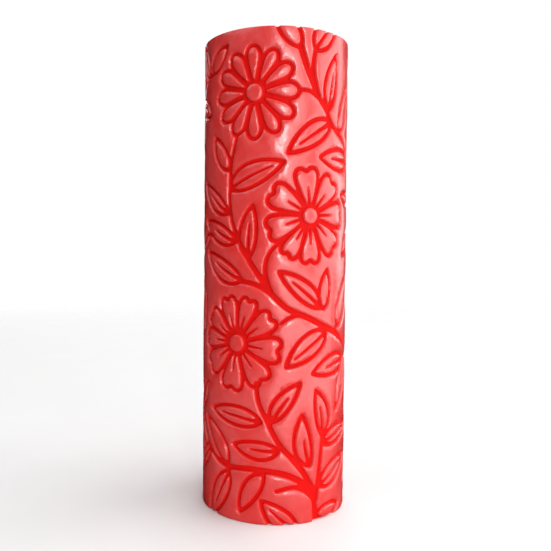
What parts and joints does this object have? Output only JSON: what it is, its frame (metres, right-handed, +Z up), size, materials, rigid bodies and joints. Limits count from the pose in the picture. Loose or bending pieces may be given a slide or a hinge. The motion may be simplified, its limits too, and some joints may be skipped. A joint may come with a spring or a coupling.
{
  "type": "textured pattern roller",
  "caption": "Cylindrical paint roller with a soft sleeve engraved with a flower and leaf pattern, on a rigid core that spins on ball bearings for a plain axle.",
  "frame": {"origin": "centre of the sleeve's lower end face, on the roller's axis, with the roller standing on that end", "axes": "+Z up along the roller's axis of rotation; -Y faces the viewer, towards the side with the three full flowers; +X to the viewer's right"},
  "size_m": [0.056, 0.056, 0.178],
  "materials": {
    "soft_sleeve": "soft moulded rubber with a low satin sheen",
    "core_plastic": "extruded plastic tube, matt",
    "plug_plastic": "moulded plastic, fine satin grain",
    "spacer_tube": "drawn tube, faint lengthwise lines",
    "bearing_steel": "ground bearing steel",
    "ball_steel": "polished",
    "shield_steel": "pressed sheet, turned lines",
    "cage_nylon": "moulded nylon",
    "spring_steel": "blackened spring steel"
  },
  "bodies": {
    "axle_seat": {"bearing_spacer": "spacer_tube", "lower_bearing_inner_ring": "bearing_steel", "upper_bearing_inner_ring": "bearing_steel"},
    "roller": {"pattern_sleeve": "soft_sleeve", "core_tube": "core_plastic", "lower_end_plug": "plug_plastic", "lower_retaining_ring": "spring_steel", "lower_bearing_outer_ring": "bearing_steel", "lower_bearing_outer_shield": "shield_steel", "lower_bearing_inner_shield": "shield_steel", "upper_end_plug": "plug_plastic", "upper_retaining_ring": "spring_steel", "upper_bearing_outer_ring": "bearing_steel", "upper_bearing_outer_shield": "shield_steel", "upper_bearing_inner_shield": "shield_steel"},
    "lower_ball_set": {"lower_bearing_balls": "ball_steel", "lower_bearing_cage": "cage_nylon"},
    "upper_ball_set": {"upper_bearing_balls": "ball_steel", "upper_bearing_cage": "cage_nylon"}
  },
  "joints": [
    {"name": "roller_spin", "type": "hinge", "parent": "axle_seat", "child": "roller", "pos_m": [0, 0, 0.089], "axis": [0, 0, 1], "continuous": true},
    {"name": "lower_ball_set_spin", "type": "hinge", "parent": "axle_seat", "child": "lower_ball_set", "pos_m": [0, 0, 0.0061], "axis": [0, 0, 1], "continuous": true},
    {"name": "upper_ball_set_spin", "type": "hinge", "parent": "axle_seat", "child": "upper_ball_set", "pos_m": [0, 0, 0.1719], "axis": [0, 0, 1], "continuous": true}
  ],
  "couplings": [
    {"joint": "lower_ball_set_spin", "follows": "roller_spin", "ratio": 0.6323},
    {"joint": "upper_ball_set_spin", "follows": "roller_spin", "ratio": 0.6323}
  ]
}
